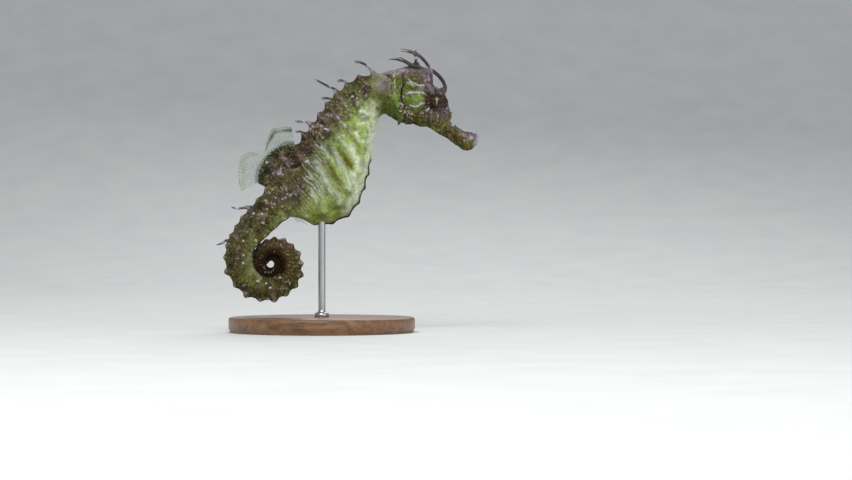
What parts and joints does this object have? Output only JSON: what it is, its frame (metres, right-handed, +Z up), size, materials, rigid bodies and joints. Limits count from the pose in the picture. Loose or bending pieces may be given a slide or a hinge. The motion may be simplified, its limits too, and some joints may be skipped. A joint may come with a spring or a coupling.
{
  "type": "seahorse, life-size model on a stand",
  "caption": "Life-size still model of a female long-snouted seahorse with a coiled tail, spiny rings and long head feelers, held over a round base by a rod.",
  "frame": {"origin": "middle of the underside of the stand's base", "axes": "+X towards the snout, +Z up, the animal's right side faces -Y"},
  "size_m": [0.087, 0.062, 0.0943],
  "materials": {
    "skin": "bony skin, olive brown above and lime green below, with pale specks",
    "feeler": "dark purple-brown skin filament",
    "fin": "thin translucent membrane on fine rays",
    "eye": "polished, dark brown iris with pale rays and a black pupil",
    "stand_wood": "satin varnish",
    "stand_metal": "brushed"
  },
  "bodies": {
    "root": {"snout": "skin", "head": "skin", "eye_right": "eye", "eye_left": "eye", "neck": "skin", "trunk_upper": "skin", "trunk_lower": "skin", "tail_base": "skin", "tail_bend": "skin", "tail_curl_1": "skin", "tail_curl_2": "skin", "tail_curl_3": "skin", "tail_tip": "skin", "feeler_eye_right": "feeler", "feeler_eye_left": "feeler", "feeler_crown_right": "feeler", "feeler_crown_left": "feeler", "feeler_crown_middle": "feeler", "dorsal_fin": "fin", "pectoral_fin_right": "fin", "pectoral_fin_left": "fin", "anal_fin": "fin", "stand_base": "stand_wood", "stand_rod": "stand_metal"}
  },
  "joints": []
}
